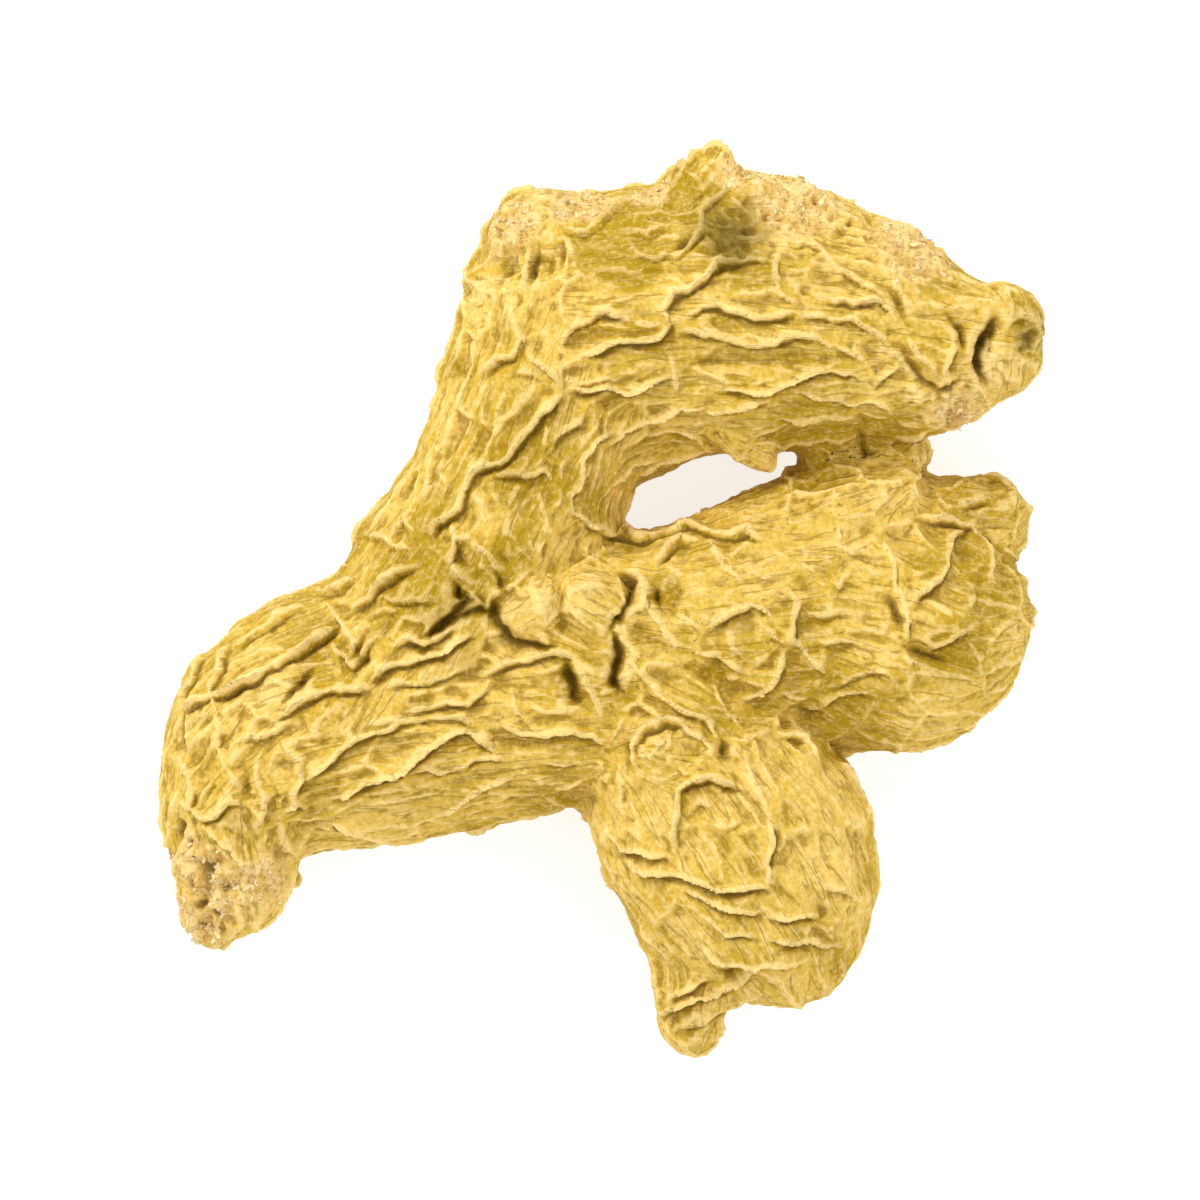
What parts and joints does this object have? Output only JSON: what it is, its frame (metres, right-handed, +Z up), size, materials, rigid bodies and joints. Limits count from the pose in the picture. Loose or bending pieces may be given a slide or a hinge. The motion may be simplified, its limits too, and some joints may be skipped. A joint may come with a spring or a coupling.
{
  "type": "dried ginger root",
  "caption": "Whole dried ginger root lying on its flat side: a knobbly trunk that forks into blunt fingers, with buds, a broken tip and crinkled golden skin.",
  "frame": {"origin": "centre of the root's bounding box in plan, on the surface that it lies on", "axes": "+Z up, out of the side that is seen in the picture; +Y from the lower finger's end towards the arm with the pointed peak; +X towards the ends of the arm and the middle finger"},
  "size_m": [0.0744, 0.0766, 0.0196],
  "materials": {
    "dried_skin": "dry matte skin, golden olive between pale crinkled ridges"
  },
  "bodies": {
    "root": {"ginger_root": "dried_skin"}
  },
  "joints": []
}
